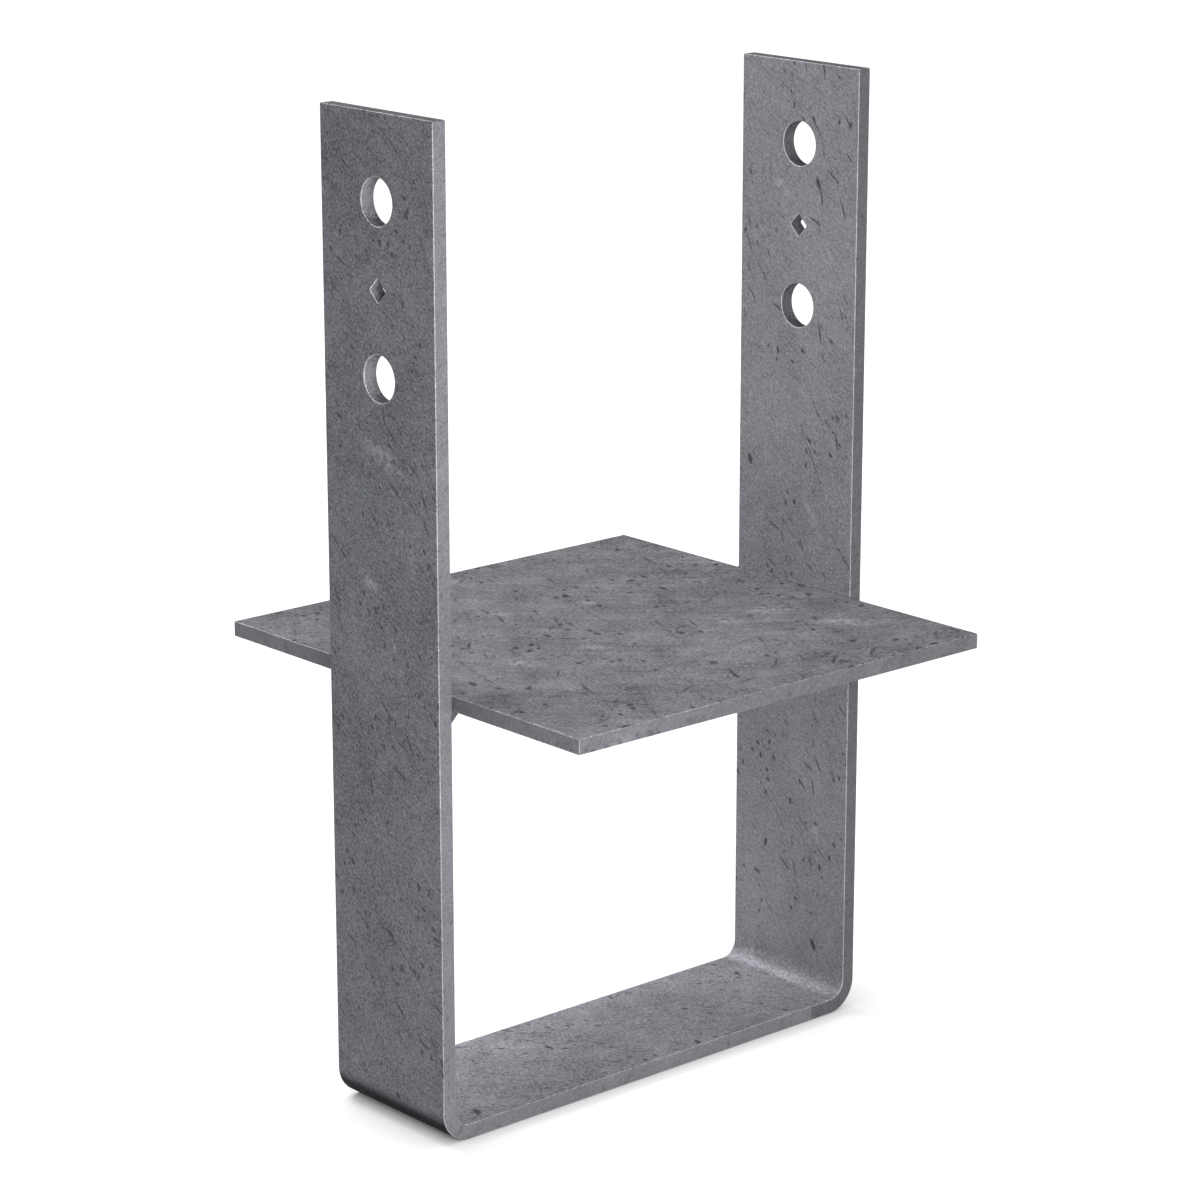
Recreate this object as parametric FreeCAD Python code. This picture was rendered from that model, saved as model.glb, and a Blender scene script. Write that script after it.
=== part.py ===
import FreeCAD, Part
import math
import os

# Welded timber post base: a flat bar bent into a U, with a square seat plate
# welded between its legs.  Millimetres, +Z up.  X runs across the two legs,
# Y runs along the width of the bar.  The origin is on the ground, under the
# middle of the U.

# seat plate, cut to the section of a dressed 10 x 10 inch post
plate_length = 241.3          # along X, between the legs
plate_depth = 241.3           # along Y
plate_thickness = 7.1
seat_height = 207.6           # top of the plate above the underside of the U

# bent bar
strap_width = 76.2            # along Y
strap_thickness = 7.1
strap_height = 456.0          # top of the legs above the underside of the U
bend_inner_radius = 8.0
fit_up_gap = 0.5              # between each end of the plate and its leg, filled by weld

# holes through both legs
bolt_hole_diameter = 21.0     # clears a 3/4 inch bolt
bolt_end_distance = 38.1      # top of the leg to the centre of the upper bolt hole
bolt_spacing = 76.2           # upper to lower bolt hole
pilot_side = 7.5              # side of the square hole midway between the bolt holes
pilot_corner_radius = 0.5

# welds under the plate
weld_leg = 6.4
weld_end_inset = 0.5          # bead stops this far short of each edge of the bar

# the zinc coating rounds every cut edge
edge_round = 0.5

# worked out from the sizes above
inner_half = plate_length / 2 + fit_up_gap
outer_half = inner_half + strap_thickness
bend_outer_radius = bend_inner_radius + strap_thickness
plate_underside = seat_height - plate_thickness
upper_bolt_z = strap_height - bolt_end_distance
lower_bolt_z = upper_bolt_z - bolt_spacing
pilot_z = (upper_bolt_z + lower_bolt_z) / 2
weld_run = strap_width - 2 * weld_end_inset
smallest_wall = min(strap_thickness, plate_thickness)
rounding = min(edge_round, 0.4 * smallest_wall)


def vec(x, y, z):
    return FreeCAD.Vector(x, y, z)


def closed_face(edges):
    return Part.Face(Part.Wire(Part.__sortEdges__(edges)))


def line(start, end):
    return Part.LineSegment(start, end).toShape()


def quarter_bend(side, radius, y):
    """Arc of one bend, from the flat of the U up to the leg on the given side."""
    centre_x = side * (inner_half - bend_inner_radius)
    centre_z = strap_thickness + bend_inner_radius
    slant = radius * math.sqrt(0.5)
    foot = vec(centre_x, y, centre_z - radius)
    middle = vec(centre_x + side * slant, y, centre_z - slant)
    top = vec(centre_x + side * radius, y, centre_z)
    return Part.Arc(foot, middle, top).toShape()


def u_section(y):
    """Outline of the bent bar seen from its edge, in the plane at the given Y."""
    bend_x = inner_half - bend_inner_radius
    bend_z = strap_thickness + bend_inner_radius
    edges = []
    edges.append(line(vec(-bend_x, y, 0), vec(bend_x, y, 0)))
    edges.append(line(vec(-bend_x, y, strap_thickness), vec(bend_x, y, strap_thickness)))
    for side in (-1, 1):
        outer_x = side * outer_half
        inner_x = side * inner_half
        edges.append(quarter_bend(side, bend_outer_radius, y))
        edges.append(quarter_bend(side, bend_inner_radius, y))
        edges.append(line(vec(outer_x, y, bend_z), vec(outer_x, y, strap_height)))
        edges.append(line(vec(inner_x, y, bend_z), vec(inner_x, y, strap_height)))
        edges.append(line(vec(outer_x, y, strap_height), vec(inner_x, y, strap_height)))
    return closed_face(edges)


def bolt_drill(z):
    """Round bar that cuts one bolt hole through both legs."""
    start = vec(-outer_half, 0, z)
    return Part.makeCylinder(bolt_hole_diameter / 2, 2 * outer_half, start, vec(1, 0, 0))


def pilot_punch():
    """Square bar, standing on its corner, that cuts the pilot hole through both legs."""
    half = pilot_side / 2
    corner = vec(-outer_half, -half, pilot_z - half)
    bar = Part.makeBox(2 * outer_half, pilot_side, pilot_side, corner)
    long_edges = [e for e in bar.Edges if abs(e.tangentAt(e.FirstParameter).x) > 0.5]
    bar = bar.makeFillet(min(pilot_corner_radius, 0.4 * pilot_side), long_edges)
    bar.rotate(vec(0, 0, pilot_z), vec(1, 0, 0), 45)
    return bar


def face_normal_at(face, point):
    u, v = face.Surface.parameter(point)
    return face.normalAt(u, v)


def sharp_edges(shape):
    """Edges where two faces meet at an angle, and not along a tangent."""
    found = []
    for edge in shape.Edges:
        middle = edge.valueAt((edge.FirstParameter + edge.LastParameter) / 2)
        faces = shape.ancestorsOfType(edge, Part.Face)
        if len(faces) == 2:
            turn = face_normal_at(faces[0], middle).getAngle(face_normal_at(faces[1], middle))
            if turn > math.radians(20):
                found.append(edge)
    return found


def u_strap():
    bar = u_section(-strap_width / 2).extrude(vec(0, strap_width, 0))
    bar = bar.cut([bolt_drill(upper_bolt_z), bolt_drill(lower_bolt_z), pilot_punch()])
    return bar.makeFillet(rounding, sharp_edges(bar))


def base_plate():
    corner = vec(-plate_length / 2, -plate_depth / 2, plate_underside)
    plate = Part.makeBox(plate_length, plate_depth, plate_thickness, corner)
    return plate.makeFillet(rounding, plate.Edges)


def weld_bead(side, plate):
    """Fillet weld under the plate, with the root run that fills the fit-up gap."""
    leg_x = side * inner_half
    y = -weld_run / 2
    toe_on_leg = vec(leg_x, y, plate_underside - weld_leg)
    toe_on_plate = vec(leg_x - side * weld_leg, y, plate_underside)
    root_low = vec(leg_x - side * (fit_up_gap + rounding), y, plate_underside)
    root_high = vec(leg_x - side * (fit_up_gap + rounding), y, seat_height)
    top = vec(leg_x, y, seat_height)
    outline = [toe_on_leg, toe_on_plate, root_low, root_high, top, toe_on_leg]
    section = Part.Face(Part.makePolygon(outline))
    return section.extrude(vec(0, weld_run, 0)).cut(plate)


def export(shape, name):
    solids = shape.Solids
    if len(solids) == 1:
        shape = solids[0]
    shape.exportStep("parts/" + name + ".step")
    box = shape.BoundBox
    print(name, len(solids), "solid", round(shape.Volume), "mm3",
          [round(v, 2) for v in (box.XMin, box.YMin, box.ZMin, box.XMax, box.YMax, box.ZMax)])


os.makedirs("parts", exist_ok=True)
seat = base_plate()
export(u_strap(), "u_strap")
export(seat, "base_plate")
export(weld_bead(-1, seat), "weld_bead_left")
export(weld_bead(1, seat), "weld_bead_right")
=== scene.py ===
import math
import bmesh
import bpy
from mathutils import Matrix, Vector


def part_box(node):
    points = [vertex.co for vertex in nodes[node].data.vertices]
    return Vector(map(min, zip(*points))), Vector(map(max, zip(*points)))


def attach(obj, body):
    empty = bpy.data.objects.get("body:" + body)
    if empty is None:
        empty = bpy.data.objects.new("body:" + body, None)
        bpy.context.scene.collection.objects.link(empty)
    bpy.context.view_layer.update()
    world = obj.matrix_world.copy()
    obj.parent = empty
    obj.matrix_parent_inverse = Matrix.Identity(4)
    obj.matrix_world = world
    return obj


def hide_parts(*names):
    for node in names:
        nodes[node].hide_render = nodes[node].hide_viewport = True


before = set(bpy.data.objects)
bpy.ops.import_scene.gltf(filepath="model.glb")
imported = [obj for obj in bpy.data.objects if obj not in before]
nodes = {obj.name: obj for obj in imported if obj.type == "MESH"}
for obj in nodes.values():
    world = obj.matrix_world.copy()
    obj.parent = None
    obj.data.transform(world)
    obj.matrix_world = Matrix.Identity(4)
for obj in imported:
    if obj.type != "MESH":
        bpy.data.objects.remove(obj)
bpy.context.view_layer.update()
print("frame loaded with", len(nodes), "nodes")

mm = 0.001


# node building: a number is set on the socket, an output is linked to it
def feed(tree, socket, value):
    if isinstance(value, bpy.types.NodeSocket):
        tree.links.new(value, socket)
    else:
        socket.default_value = value


def addNode(tree, kind, values=None, **settings):
    node = tree.nodes.new(kind)
    for name, value in settings.items():
        setattr(node, name, value)
    for name, value in (values or {}).items():
        feed(tree, node.inputs[name], value)
    return node


def calc(tree, operation, *values):
    node = addNode(tree, "ShaderNodeMath", operation=operation)
    for socket, value in zip(node.inputs, values):
        feed(tree, socket, value)
    return node.outputs[0]


def vectorCalc(tree, operation, *values):
    node = addNode(tree, "ShaderNodeVectorMath", operation=operation)
    for socket, value in zip(node.inputs, values):
        feed(tree, socket, value)
    return node.outputs[0]


def remap(tree, value, low, high, toLow=0.0, toHigh=1.0):
    node = addNode(tree, "ShaderNodeMapRange", {"Value": value, "From Min": low, "From Max": high,
                   "To Min": toLow, "To Max": toHigh}, interpolation_type="SMOOTHSTEP")
    return node.outputs[0]


def noise(tree, vector, scale, detail=2.0, roughness=0.5, distortion=0.0):
    node = addNode(tree, "ShaderNodeTexNoise", {"Vector": vector, "Scale": scale, "Detail": detail,
                   "Roughness": roughness, "Distortion": distortion})
    return node.outputs["Fac"]


def splitVector(tree, vector):
    return addNode(tree, "ShaderNodeSeparateXYZ", {0: vector}).outputs


def mixColour(tree, factor, first, second, blend="MIX"):
    node = addNode(tree, "ShaderNodeMix", data_type="RGBA", blend_type=blend)
    feed(tree, node.inputs[0], factor)
    feed(tree, node.inputs[6], first)
    feed(tree, node.inputs[7], second)
    return node.outputs[2]


def newGroup(name, inputs, outputs):
    tree = bpy.data.node_groups.new(name, "ShaderNodeTree")
    for label, kind, value in inputs:
        socket = tree.interface.new_socket(label, in_out="INPUT", socket_type="NodeSocket" + kind)
        if value is not None:
            socket.default_value = value
    for label, kind in outputs:
        tree.interface.new_socket(label, in_out="OUTPUT", socket_type="NodeSocket" + kind)
    given = tree.nodes.new("NodeGroupInput").outputs
    made = tree.nodes.new("NodeGroupOutput").inputs
    return tree, given, made


# lays the metal's faces out flat, in metres, and moves each to its own stretch of pattern
patternShift = {"sideways": 9.4, "upward": 5.7, "farLeg": 3.1}


def makeFaceCoords():
    tree, given, made = newGroup("faceCoords",
        [("Position", "Vector", None), ("Normal", "Vector", None)],
        [("Flat", "Vector")])
    size = splitVector(tree, vectorCalc(tree, "ABSOLUTE", given["Normal"]))
    way = splitVector(tree, vectorCalc(tree, "SIGN", given["Normal"]))
    place = splitVector(tree, given["Position"])
    onX = calc(tree, "GREATER_THAN", size[0], calc(tree, "MAXIMUM", size[1], size[2]))
    onZ = calc(tree, "GREATER_THAN", size[2], calc(tree, "MAXIMUM", size[0], size[1]))
    across = calc(tree, "MULTIPLY_ADD", onX, calc(tree, "SUBTRACT", place[1], place[0]), place[0])
    down = calc(tree, "SUBTRACT", calc(tree, "MULTIPLY", place[1], -1.0), place[2])
    along = calc(tree, "MULTIPLY_ADD", onZ, down, place[2])
    farLeg = calc(tree, "MULTIPLY", calc(tree, "SIGN", place[0]), patternShift["farLeg"])
    shiftX = calc(tree, "MULTIPLY", onX, calc(tree, "MULTIPLY_ADD", way[0], patternShift["sideways"], farLeg))
    shiftZ = calc(tree, "MULTIPLY", onZ, calc(tree, "MULTIPLY", way[2], patternShift["upward"]))
    moved = calc(tree, "ADD", across, calc(tree, "ADD", shiftX, shiftZ))
    flat = addNode(tree, "ShaderNodeCombineXYZ", {"X": moved, "Y": along})
    feed(tree, made["Flat"], flat.outputs[0])
    return tree


# the grey skin that dipping leaves: soft clouds, small blotches, fine grain and a faint rolled hatch
skinNoise = {       # detail, roughness, distortion
    "clouds": (3.0, 0.55, 0.4), "blotches": (4.0, 0.6, 0.3), "flecks": (3.0, 0.6, 0.6), "grain": (2.0, 0.6, 0.8),
    "hatch": (2.0, 0.6), "warmth": (2.0, 0.5, 0.3),
}
drawnShare = 0.7                    # flecks and grain are drawn out a little along the rolling
warmOffset = (3.7, 1.9, 5.3)        # so that warm patches and clouds don't fall together
warmRange = (0.35, 0.65)


def makeZincSkin():
    tree, given, made = newGroup("zincSkin",
        [("Position", "Vector", None), ("Flat", "Vector", None), ("Cloud Size", "Float", 0.06),
         ("Blotch Size", "Float", 0.012), ("Fleck Size", "Float", 0.0035), ("Grain Size", "Float", 0.0011),
         ("Angle", "Float", 0.78), ("Hatch Length", "Float", 0.011), ("Hatch Width", "Float", 0.0008)],
        [(label, "Float") for label in ("Clouds", "Blotches", "Flecks", "Grain", "Hatch", "Warmth")])
    def scaleOf(label):
        return calc(tree, "DIVIDE", 1.0, given[label])
    place = given["Position"]
    clouds = noise(tree, place, scaleOf("Cloud Size"), *skinNoise["clouds"])
    blotches = noise(tree, place, scaleOf("Blotch Size"), *skinNoise["blotches"])
    turned = addNode(tree, "ShaderNodeVectorRotate", {"Vector": given["Flat"], "Angle": given["Angle"]},
                     rotation_type="Z_AXIS", invert=True)
    drawnOut = addNode(tree, "ShaderNodeMapping", {"Vector": turned.outputs[0],
                       "Scale": (drawnShare, 1.0, 1.0)}).outputs[0]
    flecks = noise(tree, drawnOut, scaleOf("Fleck Size"), *skinNoise["flecks"])
    grain = noise(tree, drawnOut, scaleOf("Grain Size"), *skinNoise["grain"])
    strokes = addNode(tree, "ShaderNodeCombineXYZ", {"X": scaleOf("Hatch Length"), "Y": scaleOf("Hatch Width")})
    hatched = vectorCalc(tree, "MULTIPLY", turned.outputs[0], strokes.outputs[0])
    hatch = noise(tree, hatched, 1.0, *skinNoise["hatch"])
    warm = addNode(tree, "ShaderNodeMapping", {"Vector": place, "Location": warmOffset})
    warmth = noise(tree, warm.outputs[0], scaleOf("Cloud Size"), *skinNoise["warmth"])
    for label, value in (("Clouds", clouds), ("Blotches", blotches), ("Flecks", flecks), ("Grain", grain),
                         ("Hatch", hatch)):
        feed(tree, made[label], calc(tree, "SUBTRACT", value, 0.5))
    feed(tree, made["Warmth"], remap(tree, warmth, *warmRange))
    return tree


# one mark per cell, a tapered stroke or an oval: scratches, pits, smears
markGrow = (0.35, 0.9)              # the smallest mark's share of the stated size, and what the largest adds
markJitter = 0.9                    # how far the marks stray from an even grid


def makeScatteredMarks():
    tree, given, made = newGroup("scatteredMarks",
        [("Flat", "Vector", None), ("Cell", "Float", 0.03), ("Length", "Float", 0.01), ("Width", "Float", 0.0004),
         ("Angle", "Float", 0.78), ("Spread", "Float", 1.0), ("Keep", "Float", 0.5), ("Bow", "Float", 0.0),
         ("Softness", "Float", 0.6), ("Offset", "Float", 0.0)],
        [("Mark", "Float")])
    offset = addNode(tree, "ShaderNodeCombineXYZ", {"X": given["Offset"], "Y": given["Offset"]}).outputs[0]
    shifted = vectorCalc(tree, "ADD", given["Flat"], offset)
    cell = addNode(tree, "ShaderNodeTexVoronoi", {"Vector": shifted, "Randomness": markJitter,
                   "Scale": calc(tree, "DIVIDE", 1.0, given["Cell"])}, voronoi_dimensions="2D", feature="F1")
    draw = addNode(tree, "ShaderNodeSeparateColor", {"Color": cell.outputs["Color"]}).outputs
    away = vectorCalc(tree, "SUBTRACT", shifted, cell.outputs["Position"])
    angle = calc(tree, "MULTIPLY_ADD", calc(tree, "SUBTRACT", draw[0], 0.5), given["Spread"], given["Angle"])
    turned = addNode(tree, "ShaderNodeVectorRotate", {"Vector": away, "Angle": angle}, rotation_type="Z_AXIS",
                     invert=True)
    local = splitVector(tree, turned.outputs[0])
    grow = calc(tree, "MULTIPLY_ADD", draw[2], markGrow[1], markGrow[0])
    curved = calc(tree, "MULTIPLY_ADD", calc(tree, "MULTIPLY", local[0], local[0]), given["Bow"], local[1])
    def shareOf(distance, label):
        size = calc(tree, "MULTIPLY", given[label], grow)
        return calc(tree, "DIVIDE", calc(tree, "MULTIPLY", distance, 2.0), size)
    alongMark = shareOf(local[0], "Length")
    acrossMark = shareOf(curved, "Width")
    reach = calc(tree, "SQRT", calc(tree, "ADD", calc(tree, "MULTIPLY", alongMark, alongMark),
                                    calc(tree, "MULTIPLY", acrossMark, acrossMark)))
    inner = calc(tree, "SUBTRACT", 1.0, given["Softness"])
    mark = remap(tree, reach, inner, 1.0, 1.0, 0.0)
    kept = calc(tree, "LESS_THAN", draw[1], given["Keep"])
    feed(tree, made["Mark"], calc(tree, "MULTIPLY", mark, kept))
    return tree


faceCoords = makeFaceCoords()
zincSkin = makeZincSkin()
scatteredMarks = makeScatteredMarks()
print("node groups made")


def placeGroup(tree, group, values):
    return addNode(tree, "ShaderNodeGroup", values, node_tree=group).outputs


# 1 on the half-millimetre roundings, which take a lighter tone: partly zinc rubbed bright by handling, partly a
# painted highlight; the bends have no such rounding
wornAndHighlitZone = {
    "flat": 0.995, "round": 0.9,    # the largest part of the normal, on a face and on a rounding
    "bendTop": 0.03, "offBend": 0.08,       # the bends lie below this height and don't face along the bar's width
    "legTop": 0.4545, "topLess": 0.6,       # the lighter edge, partly painted highlight, is weaker above this height
}


def makeWornAndHighlitEdge():
    tree, given, made = newGroup("wornAndHighlitEdge", [("Position", "Vector", None), ("Normal", "Vector", None)],
                                 [("Mask", "Float")])
    size = splitVector(tree, vectorCalc(tree, "ABSOLUTE", given["Normal"]))
    height = splitVector(tree, given["Position"])["Z"]
    squarest = calc(tree, "MAXIMUM", size[0], calc(tree, "MAXIMUM", size[1], size[2]))
    notBend = calc(tree, "MAXIMUM", calc(tree, "GREATER_THAN", size[1], wornAndHighlitZone["offBend"]),
                   calc(tree, "GREATER_THAN", height, wornAndHighlitZone["bendTop"]))
    onTop = calc(tree, "GREATER_THAN", height, wornAndHighlitZone["legTop"])
    quietTop = calc(tree, "MULTIPLY_ADD", onTop, -wornAndHighlitZone["topLess"], notBend)
    rounding = remap(tree, squarest, wornAndHighlitZone["flat"], wornAndHighlitZone["round"])
    feed(tree, made["Mask"], calc(tree, "MULTIPLY", rounding, quietTop))
    return tree


# inside: 1 on the faces that look into the bracket; inward: those of the legs alone; under: where the metal turns
# to the floor; cut: sheared ends; top: the legs' upper ends; bore: the walls of the holes; hole zone: around them
faceZone = {        # metres
    "bedTop": 0.03, "farLeg": 0.1, "legTop": 0.45,
    "holeHalfWidth": 0.03, "holeMiddle": 0.38, "holeHalfHeight": 0.06,
}
faceTurn = {        # part of the normal at which each mask starts and is full
    "inside": (0.2, 0.6), "under": (0.0, -0.5), "top": (0.5, 0.9), "cutY": (0.75, 0.95), "cutAround": (0.5, 0.1),
    "bore": (0.5, 0.15),
}


def makeFaceKind():
    kinds = ("Inside", "Inward", "Under", "Cut Y", "Cut Around", "Far Leg", "Top", "Bore", "Hole Zone")
    tree, given, made = newGroup("faceKind", [("Position", "Vector", None), ("Normal", "Vector", None)],
                                 [(label, "Float") for label in kinds])
    face = splitVector(tree, given["Normal"])
    size = splitVector(tree, vectorCalc(tree, "ABSOLUTE", given["Normal"]))
    place = splitVector(tree, given["Position"])
    inward = calc(tree, "MULTIPLY", calc(tree, "MULTIPLY", face[0], calc(tree, "SIGN", place[0])), -1.0)
    upLow = calc(tree, "MULTIPLY", face[2], calc(tree, "LESS_THAN", place[2], faceZone["bedTop"]))
    feed(tree, made["Inside"], remap(tree, calc(tree, "MAXIMUM", inward, upLow), *faceTurn["inside"]))
    feed(tree, made["Inward"], remap(tree, inward, *faceTurn["inside"]))
    feed(tree, made["Under"], remap(tree, face[2], *faceTurn["under"]))
    feed(tree, made["Far Leg"], calc(tree, "GREATER_THAN", place[0], faceZone["farLeg"]))
    onTop = calc(tree, "GREATER_THAN", place[2], faceZone["legTop"])
    feed(tree, made["Top"], calc(tree, "MULTIPLY", onTop, remap(tree, face[2], *faceTurn["top"])))
    feed(tree, made["Cut Y"], remap(tree, size[1], *faceTurn["cutY"]))
    feed(tree, made["Cut Around"], remap(tree, size[2], *faceTurn["cutAround"]))
    withinY = calc(tree, "LESS_THAN", calc(tree, "ABSOLUTE", place[1]), faceZone["holeHalfWidth"])
    fromMiddle = calc(tree, "ABSOLUTE", calc(tree, "SUBTRACT", place[2], faceZone["holeMiddle"]))
    withinZ = calc(tree, "LESS_THAN", fromMiddle, faceZone["holeHalfHeight"])
    zone = calc(tree, "MULTIPLY", withinY, withinZ)
    feed(tree, made["Hole Zone"], zone)
    feed(tree, made["Bore"], calc(tree, "MULTIPLY", zone, remap(tree, size[0], *faceTurn["bore"])))
    return tree


wornAndHighlitEdge = makeWornAndHighlitEdge()
faceKind = makeFaceKind()


# a galvanised finish; every number that sets its look is in the settings
clusterDetail, clusterRange = 1.0, (0.48, 0.58)             # where marks gather
brokenNoise, brokenRange = (3.0, 0.65), (0.42, 0.6)         # where a mark breaks off


def galvanised(name, look):
    material = bpy.data.materials.new(name)
    material.use_nodes = True
    tree = material.node_tree
    shader = tree.nodes["Principled BSDF"]
    place = addNode(tree, "ShaderNodeTexCoord").outputs["Object"]
    normal = addNode(tree, "ShaderNodeNewGeometry").outputs["Normal"]
    where = {"Position": place, "Normal": normal}
    flat = placeGroup(tree, faceCoords, where)["Flat"]
    skin = placeGroup(tree, zincSkin, {"Position": place, "Flat": flat, **look["skin"]})
    kind = placeGroup(tree, faceKind, where)
    cut = kind[look["cut"]]
    clean = calc(tree, "MULTIPLY_ADD", cut, -look["cutCalm"], 1.0)         # sheared edges are cleaner
    quiet = calc(tree, "MULTIPLY_ADD", kind["Inward"], -look["insideCalm"], clean)
    shade = 0.0
    for label, amount in look["strength"].items():
        shade = calc(tree, "MULTIPLY_ADD", skin[label], amount, shade)
    shade = calc(tree, "MULTIPLY_ADD", shade, quiet, 1.0)
    tone = look["tone"]
    # painted light: on the bar the faces that look into the bracket, the bed between the legs among them, are
    # lighter than the outside; on the weld they are darker, painted shade
    colour = mixColour(tree, kind["Inside"], tone["outside"], tone["bed"])
    colour = mixColour(tree, kind["Inward"], colour, tone["inside"])
    # painted shade: faces that turn down to the floor are darker on the bar and the plate; on the weld they are
    # lighter, painted light
    colour = mixColour(tree, kind["Under"], colour, tone["under"])
    # painted light and shade on the edge faces: lighter than the outside on the bar's near leg and on the weld,
    # darker on the bar's far leg and on the plate
    cutTone = mixColour(tree, kind["Far Leg"], tone["cut"], tone["farCut"])
    colour = mixColour(tree, cut, colour, cutTone)
    # painted shade: the legs' upper ends are darker
    colour = mixColour(tree, kind["Top"], colour, tone["top"])
    # painted light and shade on the hole walls: lighter on the near leg, darker on the far leg
    boreTone = mixColour(tree, kind["Far Leg"], tone["bore"], tone["farBore"])
    colour = mixColour(tree, kind["Bore"], colour, boreTone)
    # partly painted highlight: the roundings and the rims of the holes are lighter, which also stands for zinc
    # worn bright by handling
    edge = placeGroup(tree, wornAndHighlitEdge, where)["Mask"]
    edge = calc(tree, "MULTIPLY", edge, calc(tree, "SUBTRACT", 1.0, kind["Bore"]))
    edge = calc(tree, "MULTIPLY", edge, look["wornAndHighlitShare"])
    edgeTone = mixColour(tree, kind["Hole Zone"], tone["wornAndHighlit"], tone["rim"])
    colour = mixColour(tree, edge, colour, edgeTone)
    colour = mixColour(tree, calc(tree, "MULTIPLY", skin["Warmth"], look["warmShare"]), colour, look["warm"],
                       "MULTIPLY")
    scaled = addNode(tree, "ShaderNodeVectorMath", {0: colour, "Scale": shade}, operation="SCALE")
    colour = scaled.outputs[0]
    height = 0.0
    for label, amount in look["relief"].items():
        height = calc(tree, "MULTIPLY_ADD", skin[label], amount, height)
    for marks in look["marks"]:
        mark = placeGroup(tree, scatteredMarks, {"Flat": flat, **marks["cells"]})["Mark"]
        if "cluster" in marks:
            gather = noise(tree, flat, 1.0 / marks["cluster"], clusterDetail)
            mark = calc(tree, "MULTIPLY", mark, remap(tree, gather, *clusterRange))
        if "broken" in marks:
            ragged = noise(tree, flat, 1.0 / marks["broken"], *brokenNoise)
            mark = calc(tree, "MULTIPLY", mark, remap(tree, ragged, *brokenRange))
        mark = calc(tree, "MULTIPLY", mark, clean)
        share = calc(tree, "MULTIPLY", mark, marks["share"])
        colour = mixColour(tree, share, colour, marks["colour"])
        if "depth" in marks:
            height = calc(tree, "MULTIPLY_ADD", mark, marks["depth"], height)
    gloss = calc(tree, "MULTIPLY_ADD", skin["Blotches"], look["roughSpread"], look["roughness"])
    gloss = calc(tree, "MULTIPLY_ADD", skin["Grain"], look["roughSpread"], gloss)
    gloss = calc(tree, "MULTIPLY_ADD", kind["Under"], look["underDull"], gloss)
    bump = addNode(tree, "ShaderNodeBump", {"Height": height, "Distance": mm, "Strength": look["reliefStrength"]})
    feed(tree, shader.inputs["Base Color"], colour)
    feed(tree, shader.inputs["Roughness"], gloss)
    feed(tree, shader.inputs["Metallic"], look["metallic"])
    feed(tree, shader.inputs["Specular IOR Level"], look["specular"])
    feed(tree, shader.inputs["Specular Tint"], look["sheen"])
    feed(tree, shader.inputs["Normal"], bump.outputs[0])
    return material


def grey(value, tint=(0.985, 0.98, 1.065)):
    linear = ((value / 255 + 0.055) / 1.055) ** 2.4
    return (linear * tint[0], linear * tint[1], linear * tint[2], 1.0)


markTint = (0.8, 0.95, 1.35)
coolTint = (0.96, 0.984, 1.088)

# the marks that handling and dipping leave, sizes in metres; the flat ones are the plate's
darkScratch = {
    "cells": {"Cell": 0.0125, "Length": 0.012, "Width": 0.0013, "Angle": 0.95, "Spread": 1.2, "Keep": 0.75,
              "Bow": 8.0, "Softness": 0.6, "Offset": 0.0},
    "cluster": 0.05, "share": 0.7, "colour": grey(30, markTint),
}
darkSpot = {
    "cells": {"Cell": 0.0068, "Length": 0.0040, "Width": 0.0021, "Angle": 1.1, "Spread": 1.2, "Keep": 0.6,
              "Bow": 0.0, "Softness": 0.6, "Offset": 1.3},
    "cluster": 0.03, "share": 0.75, "colour": grey(30, markTint),
}
lonePit = {
    "cells": {"Cell": 0.045, "Length": 0.0070, "Width": 0.0031, "Angle": 1.5, "Spread": 0.9, "Keep": 0.4,
              "Bow": 0.0, "Softness": 0.45, "Offset": 2.9},
    "share": 0.75, "colour": grey(28, markTint), "depth": -0.1,
}
hairline = {
    "cells": {"Cell": 0.042, "Length": 0.052, "Width": 0.0012, "Angle": 0.85, "Spread": 0.5, "Keep": 0.8,
              "Bow": 1.0, "Softness": 0.6, "Offset": 7.9},
    "broken": 0.005, "share": 0.75, "colour": grey(34, markTint),
}
paleScratch = {
    "cells": {"Cell": 0.06, "Length": 0.055, "Width": 0.0011, "Angle": 0.75, "Spread": 0.9, "Keep": 0.7,
              "Bow": 1.5, "Softness": 0.95, "Offset": 4.1},
    "broken": 0.006, "share": 0.45, "colour": grey(165),
}
paleSmear = {
    "cells": {"Cell": 0.075, "Length": 0.045, "Width": 0.015, "Angle": 0.6, "Spread": 0.9, "Keep": 0.5,
              "Bow": 3.0, "Softness": 0.9, "Offset": 5.7},
    "broken": 0.004, "share": 0.35, "colour": grey(170),
}

flatScratch = {
    "cells": {"Cell": 0.021, "Length": 0.022, "Width": 0.0024, "Angle": 2.4, "Spread": 1.2, "Keep": 0.7,
              "Bow": 10.0, "Softness": 0.7, "Offset": 0.4},
    "cluster": 0.07, "share": 0.7, "colour": grey(34, markTint),
}
flatSpot = {
    "cells": {"Cell": 0.0075, "Length": 0.0058, "Width": 0.0034, "Angle": 2.3, "Spread": 1.6, "Keep": 0.55,
              "Bow": 0.0, "Softness": 0.6, "Offset": 1.3},
    "cluster": 0.032, "share": 0.8, "colour": grey(30, markTint),
}
flatLine = {
    "cells": {"Cell": 0.05, "Length": 0.075, "Width": 0.0020, "Angle": 2.0, "Spread": 0.5, "Keep": 0.8,
              "Bow": 1.0, "Softness": 0.6, "Offset": 7.9},
    "broken": 0.006, "share": 0.5, "colour": grey(40, markTint),
}
flatSmear = {
    "cells": {"Cell": 0.06, "Length": 0.035, "Width": 0.018, "Angle": 0.73, "Spread": 0.6, "Keep": 0.55,
              "Bow": 3.0, "Softness": 0.9, "Offset": 5.7},
    "broken": 0.004, "share": 0.55, "colour": grey(165),
}

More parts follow.
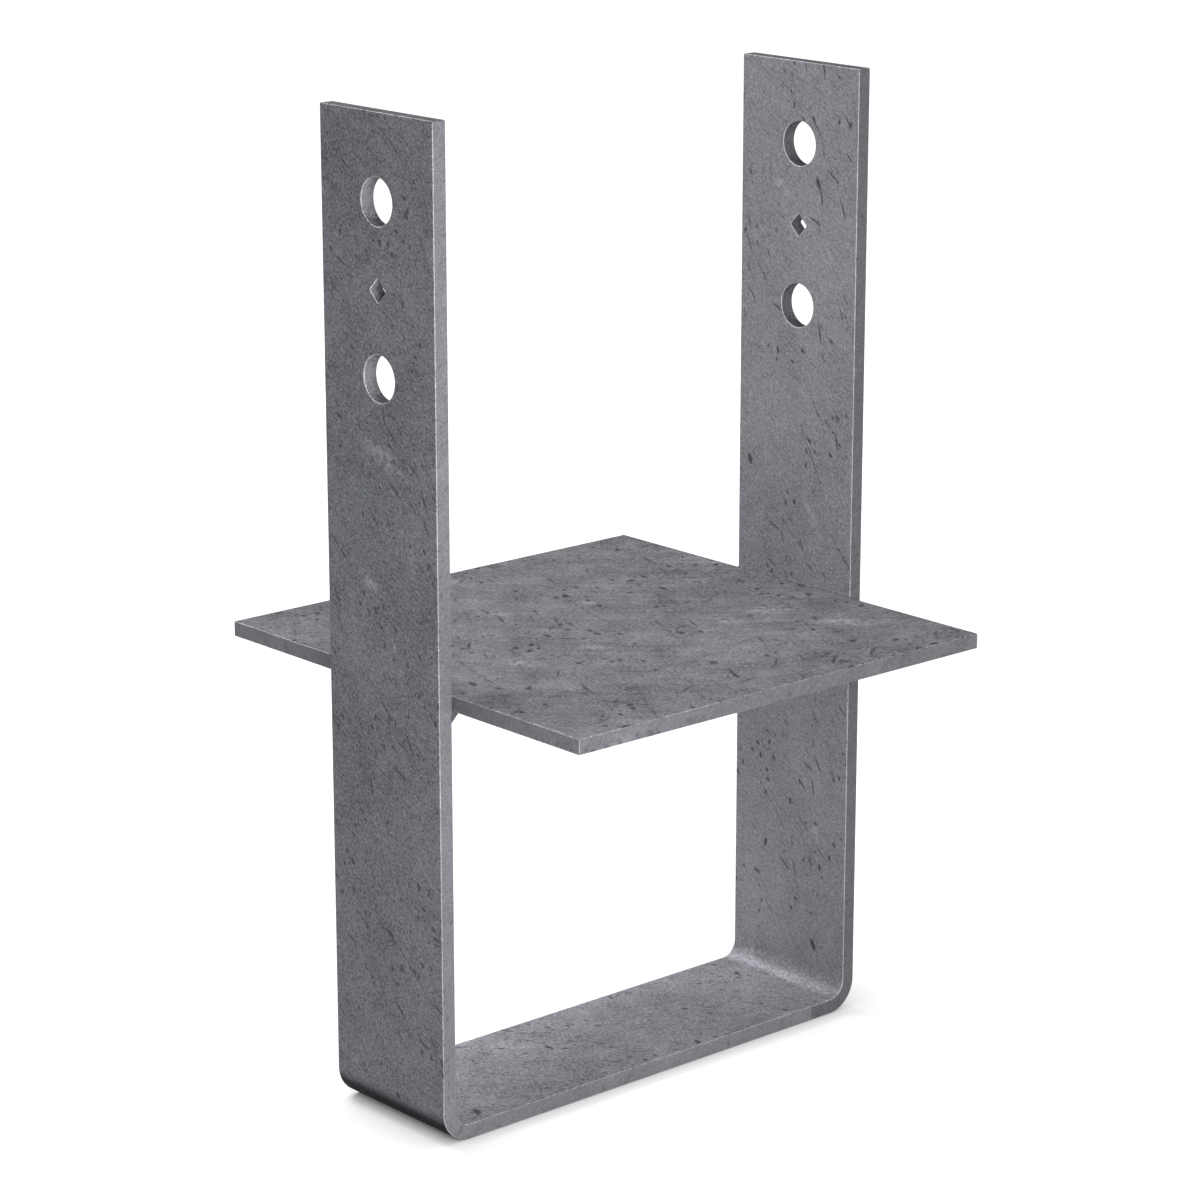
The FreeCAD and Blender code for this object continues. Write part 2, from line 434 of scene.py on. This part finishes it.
barLook = {
    "skin": {"Cloud Size": 0.055, "Blotch Size": 0.011, "Fleck Size": 0.0036, "Grain Size": 0.0009, "Angle": 0.6,
             "Hatch Length": 0.011, "Hatch Width": 0.0008},
    "strength": {"Clouds": 0.75, "Blotches": 0.75, "Flecks": 0.7, "Grain": 3.3, "Hatch": 0.6},
    # painted light and shade: the bed, the inside, the near edge faces and the near hole walls lighter; the faces
    # turned down, the legs' upper ends and the far leg's edge faces and hole walls darker; the edge and rim tones
    # partly painted highlight
    "tone": {"outside": grey(97, coolTint), "bed": grey(130), "inside": grey(121), "under": grey(26),
             "cut": grey(111), "farCut": grey(90), "top": grey(84), "wornAndHighlit": grey(145),
             "bore": grey(117), "farBore": grey(80), "rim": grey(165)},
    "cut": "Cut Y", "cutCalm": 0.6, "insideCalm": 0.4, "wornAndHighlitShare": 1.0,
    "warm": (1.0, 0.955, 0.985, 1.0), "warmShare": 0.6,
    "relief": {"Grain": 0.4, "Flecks": 0.4, "Blotches": 0.1}, "reliefStrength": 0.8,
    "marks": [darkScratch, darkSpot, lonePit, hairline, paleScratch, paleSmear],
    "roughness": 0.45, "roughSpread": 0.12, "underDull": 0.45, "metallic": 0.25, "specular": 0.2,
    "sheen": (0.9, 0.96, 1.0, 1.0),
}


# a piece with no holes and no leg ends takes one tone there
def evenTone(value):
    return dict.fromkeys(barLook["tone"], grey(value))


plateLook = {
    **barLook,
    "skin": {"Cloud Size": 0.06, "Blotch Size": 0.016, "Fleck Size": 0.0038, "Grain Size": 0.0010, "Angle": 0.73,
             "Hatch Length": 0.035, "Hatch Width": 0.004},
    # painted shade: the plate's underside and edge faces are darker than its top; the lighter edge tone is partly
    # painted highlight
    "tone": {**evenTone(107), "under": grey(90), "cut": grey(100), "farCut": grey(100), "wornAndHighlit": grey(127)},
    "strength": {"Clouds": 1.1, "Blotches": 1.1, "Flecks": 0.6, "Grain": 3.2, "Hatch": 0.75},
    "marks": [flatScratch, flatSpot, flatLine, lonePit, paleScratch, flatSmear],
    "cut": "Cut Around", "insideCalm": 0.0,
}
weldLook = {
    **barLook,
    "skin": {"Cloud Size": 0.02, "Blotch Size": 0.005, "Fleck Size": 0.003, "Grain Size": 0.001, "Angle": 0.0,
             "Hatch Length": 0.011, "Hatch Width": 0.0008},
    # painted light and shade: the weld is darker than the bar, which dims the lamp's sheen on the seat fill; its
    # inward faces are darker still, and its faces turned down and its ends are lighter
    "tone": {**evenTone(70), "bed": grey(60), "inside": grey(62), "under": grey(104),
             "cut": grey(92), "farCut": grey(92)},
    "marks": [darkSpot], "wornAndHighlitShare": 0.0,
}
finishes = {"galvanised_bar": galvanised("galvanisedBar", barLook),
            "galvanised_plate": galvanised("galvanisedPlate", plateLook),
            "galvanised_weld": galvanised("galvanisedWeld", weldLook)}
for part, slotName in (("u_strap", "galvanised_bar"), ("base_plate", "galvanised_plate")):
    for holder in nodes[part].material_slots:
        holder.material = finishes[slotName]
print("finishes made")


# the welds: a rippled fillet under the plate, a root run in the fit-up gap and a fill of zinc along the seat
weldBead = {
    "bulge": 0.45 * mm,         # how far the face stands proud of a flat fillet
    "rounds": 160,              # sides of the circle that the face is cut from
    "step": 0.5 * mm,
    "ripple": (1.0, 1.035, 1.045, 1.02, 0.985),
    "ends": (0.84, 0.95),       # the run starts and stops a little smaller
    "lead": 0.8 * mm,           # how far the middle of a ripple runs ahead of its toes
    "bands": (0.92, 0.75, 0.55, 0.3),
    "bite": 0.06 * mm,          # how far the weld goes into the metal it joins
    "rootRise": 0.3 * mm,       # how much taller the root run is than the plate is thick
    "sharpAngle": 35,           # degrees, above which an edge is shaded sharp
}
zincFill = {
    **weldBead,
    "leg": 0.9 * mm, "bulge": 0.04 * mm, "rounds": 80, "step": 4.0 * mm, "ripple": (1.0, 1.06, 0.96, 1.03),
    "bands": (),
}


def pickOnly(piece):
    bpy.ops.object.select_all(action="DESELECT")
    bpy.context.view_layer.objects.active = piece
    piece.select_set(True)


def chooseVertices(piece, test):
    bpy.ops.mesh.select_all(action="DESELECT")
    bpy.ops.mesh.select_mode(type="VERT")
    shape = bmesh.from_edit_mesh(piece.data)
    for vertex in shape.verts:
        vertex.select_set(test(vertex.co))
    shape.select_flush(True)
    bmesh.update_edit_mesh(piece.data)


# a run in the corner between the leg and a level face; up is -1 for a run hanging below that face
def layRun(name, cornerX, cornerZ, up, leg, start, end, look):
    bulge, bite, ripple, ends = look["bulge"], look["bite"], look["ripple"], look["ends"]
    chord = leg * math.sqrt(2)
    radius = (chord * chord / 4 + bulge * bulge) / (2 * bulge)
    inset = (radius - bulge) / math.sqrt(2)
    centre = (cornerX + leg / 2 - inset, start, cornerZ + up * (leg / 2 - inset))
    bpy.ops.object.select_all(action="DESELECT")
    bpy.ops.mesh.primitive_circle_add(vertices=look["rounds"], radius=radius, fill_type="NGON", location=centre,
                                      rotation=(math.pi / 2, 0, 0))
    run = bpy.context.object
    run.name = name
    bpy.ops.object.transform_apply(location=True, rotation=True, scale=True)
    bpy.ops.object.mode_set(mode="EDIT")
    for cutAt, cutWay in (((cornerX - bite, start, cornerZ), (-1, 0, 0)),
                          ((cornerX, start, cornerZ - up * bite), (0, 0, -up))):
        bpy.ops.mesh.select_all(action="SELECT")
        bpy.ops.mesh.bisect(plane_co=cutAt, plane_no=cutWay, clear_outer=True, threshold=1e-7)
    bpy.ops.mesh.select_all(action="SELECT")
    count = round((end - start) / look["step"])
    sizes = [ripple[i % len(ripple)] for i in range(count + 1)]
    sizes[:len(ends)] = ends
    sizes[-len(ends):] = reversed(ends)
    root = Vector((cornerX - bite, start, cornerZ - up * bite))
    bpy.ops.transform.resize(value=(sizes[0], 1, sizes[0]), center_override=root)
    for before, after in zip(sizes, sizes[1:]):
        root.y += (end - start) / count
        bpy.ops.mesh.extrude_region_move(TRANSFORM_OT_translate={"value": (0, (end - start) / count, 0)})
        bpy.ops.transform.resize(value=(after / before, 1, after / before), center_override=root)
    for share in look["bands"]:         # the middle of the face leads, band by band
        def midFace(place):
            outX, outZ = place.x - root.x, up * (place.z - root.z)
            return outX + outZ > leg / 2 and abs(math.atan2(outZ, outX) * 4 / math.pi - 1) < share
        chooseVertices(run, midFace)
        bpy.ops.transform.translate(value=(0, look["lead"] / len(look["bands"]), 0))
    bpy.ops.mesh.select_all(action="SELECT")
    bpy.ops.mesh.normals_make_consistent(inside=False)
    bpy.ops.object.mode_set(mode="OBJECT")
    return run


def unite(first, second):
    pickOnly(first)
    joined = first.modifiers.new("join", "BOOLEAN")
    joined.operation, joined.solver, joined.object = "UNION", "EXACT", second
    bpy.ops.object.modifier_apply(modifier=joined.name)
    bpy.data.objects.remove(second)


low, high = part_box("weld_bead_left")
plateLow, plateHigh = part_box("base_plate")
plateEnd, plateUnder, seat = plateLow.x, plateLow.z, plateHigh.z
weldLeft = layRun("weldLeft", low.x, plateUnder, -1, high.x - low.x, low.y, high.y - weldBead["lead"], weldBead)
seatFill = layRun("seatFill", low.x, seat, 1, zincFill["leg"], low.y, high.y, zincFill)
bpy.ops.object.select_all(action="DESELECT")
bpy.ops.mesh.primitive_cube_add(size=1, location=((low.x + plateEnd) / 2, 0, (plateUnder + seat) / 2))
rootRun = bpy.context.object
rootRun.scale = (plateEnd - low.x + 2 * weldBead["bite"], high.y - low.y - 4 * weldBead["bite"],
                 seat - plateUnder + weldBead["rootRise"])
bpy.ops.object.transform_apply(location=True, rotation=True, scale=True)
unite(weldLeft, rootRun)
unite(weldLeft, seatFill)

# the other side's weld is the same run, mirrored
pickOnly(weldLeft)
bpy.ops.object.shade_smooth_by_angle(angle=math.radians(weldBead["sharpAngle"]))
bpy.ops.object.duplicate(linked=False)
weldRight = bpy.context.object
weldRight.name = "weldRight"
weldRight.scale = (-1, 1, 1)
bpy.ops.object.transform_apply(location=True, rotation=True, scale=True)
bpy.ops.object.mode_set(mode="EDIT")
bpy.ops.mesh.select_all(action="SELECT")
bpy.ops.mesh.normals_make_consistent(inside=False)
bpy.ops.object.mode_set(mode="OBJECT")
for piece, node in ((weldLeft, "weld_bead_left"), (weldRight, "weld_bead_right")):
    piece.data.materials.clear()
    piece.data.materials.append(finishes["galvanised_weld"])
    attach(piece, "root")
    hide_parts(node)
print("welds laid")


# camera, floor and light
view = {
    "place": Vector((-1.09945, -1.23869, 0.67779)),
    "aim": Vector((-0.00801, -0.00644, 0.22331)),
    "lens": 112.80, "sensor": 36.0, "clipEnd": 100,
}
bpy.ops.object.camera_add(location=view["place"])
camera = bpy.context.object
camera.name = "camera"
camera.data.lens = view["lens"]
camera.data.sensor_width = view["sensor"]
camera.data.clip_end = view["clipEnd"]
camera.rotation_mode = "QUATERNION"
camera.rotation_quaternion = (view["aim"] - view["place"]).to_track_quat("-Z", "Y")
scene = bpy.context.scene
scene.camera = camera
scene.view_settings.view_transform = "Standard"

studio = {
    "floorSize": 60.0, "floorGap": 0.3 * mm, "floorColour": (0.35, 0.35, 0.35, 1.0),
    "whiteNear": 0.74, "whiteFar": 0.97, "nearReach": 0.3, "farReach": 3.0,
    "paintedShadowReach": 0.12, "paintedShadowSamples": 2,
    "worldColour": (0.97, 0.98, 1.0, 1.0), "worldLow": 0.8, "worldHigh": 0.25, "worldTurn": (-0.02, 0.22),
}


def seenDirectly(tree):
    rays = addNode(tree, "ShaderNodeLightPath").outputs
    seen = calc(tree, "MAXIMUM", rays["Is Camera Ray"], rays["Is Glossy Ray"])
    return calc(tree, "MAXIMUM", seen, rays["Is Transmission Ray"])


bpy.ops.mesh.primitive_plane_add(size=studio["floorSize"], location=(0, 0, -studio["floorGap"]))
floor = bpy.context.object
floor.name = "floor"
floorMaterial = bpy.data.materials.new("floorPale")
floorMaterial.use_nodes = True
tree = floorMaterial.node_tree
tree.nodes.clear()
dull = addNode(tree, "ShaderNodeBsdfDiffuse", {"Color": studio["floorColour"]})
# painted shadow: ambient occlusion darkens the floor's glow near the object, a contact shadow laid over the real
# one
paintedContactShadow = addNode(tree, "ShaderNodeAmbientOcclusion", {"Distance": studio["paintedShadowReach"]},
                  samples=studio["paintedShadowSamples"])
spot = addNode(tree, "ShaderNodeVectorMath", {0: addNode(tree, "ShaderNodeTexCoord").outputs["Object"]},
               operation="LENGTH").outputs["Value"]
level = remap(tree, spot, studio["nearReach"], studio["farReach"], studio["whiteNear"], studio["whiteFar"])
white = calc(tree, "MULTIPLY", seenDirectly(tree), calc(tree, "MULTIPLY", paintedContactShadow.outputs["AO"], level))
glow = addNode(tree, "ShaderNodeEmission", {"Strength": white})
both = addNode(tree, "ShaderNodeAddShader", {0: dull.outputs[0], 1: glow.outputs[0]})
below = addNode(tree, "ShaderNodeNewGeometry").outputs["Backfacing"]
clear = addNode(tree, "ShaderNodeBsdfTransparent")
fromBelow = addNode(tree, "ShaderNodeMixShader", {0: below, 1: both.outputs[0], 2: clear.outputs[0]})
addNode(tree, "ShaderNodeOutputMaterial", {"Surface": fromBelow.outputs[0]})
floor.data.materials.append(floorMaterial)

world = bpy.data.worlds.new("studioWorld")
scene.world = world
world.use_nodes = True
tree = world.node_tree
tree.nodes.clear()
upward = addNode(tree, "ShaderNodeSeparateXYZ", {0: addNode(tree, "ShaderNodeTexCoord").outputs["Generated"]})
level = remap(tree, upward.outputs["Z"], *studio["worldTurn"], studio["worldLow"], studio["worldHigh"])
soft = addNode(tree, "ShaderNodeBackground", {"Color": studio["worldColour"], "Strength": level})
addNode(tree, "ShaderNodeOutputWorld", {"Surface": soft.outputs[0]})

lamps = {
    "frontSoft": {"azimuth": -27, "elevation": 12, "distance": 1.05, "size": 0.5, "power": 16},
    "rearSoft": {"azimuth": 188, "elevation": 50, "distance": 2.4, "size": 1.1, "power": 72},
    "sideSoft": {"azimuth": 90, "elevation": 10, "distance": 2.4, "size": 1.1, "power": 28},
}
lampAim = Vector((0, 0, 0.22))
for name, lamp in lamps.items():
    turn, lift = math.radians(lamp["azimuth"]), math.radians(lamp["elevation"])
    back = Vector((math.sin(turn) * math.cos(lift), -math.cos(turn) * math.cos(lift), math.sin(lift)))
    bpy.ops.object.light_add(type="AREA", location=lampAim + back * lamp["distance"])
    light = bpy.context.object
    light.name = name
    light.data.size = lamp["size"]
    light.data.energy = lamp["power"]
    light.rotation_mode = "QUATERNION"
    light.rotation_quaternion = (-back).to_track_quat("-Z", "Y")
print("camera, floor and light placed")
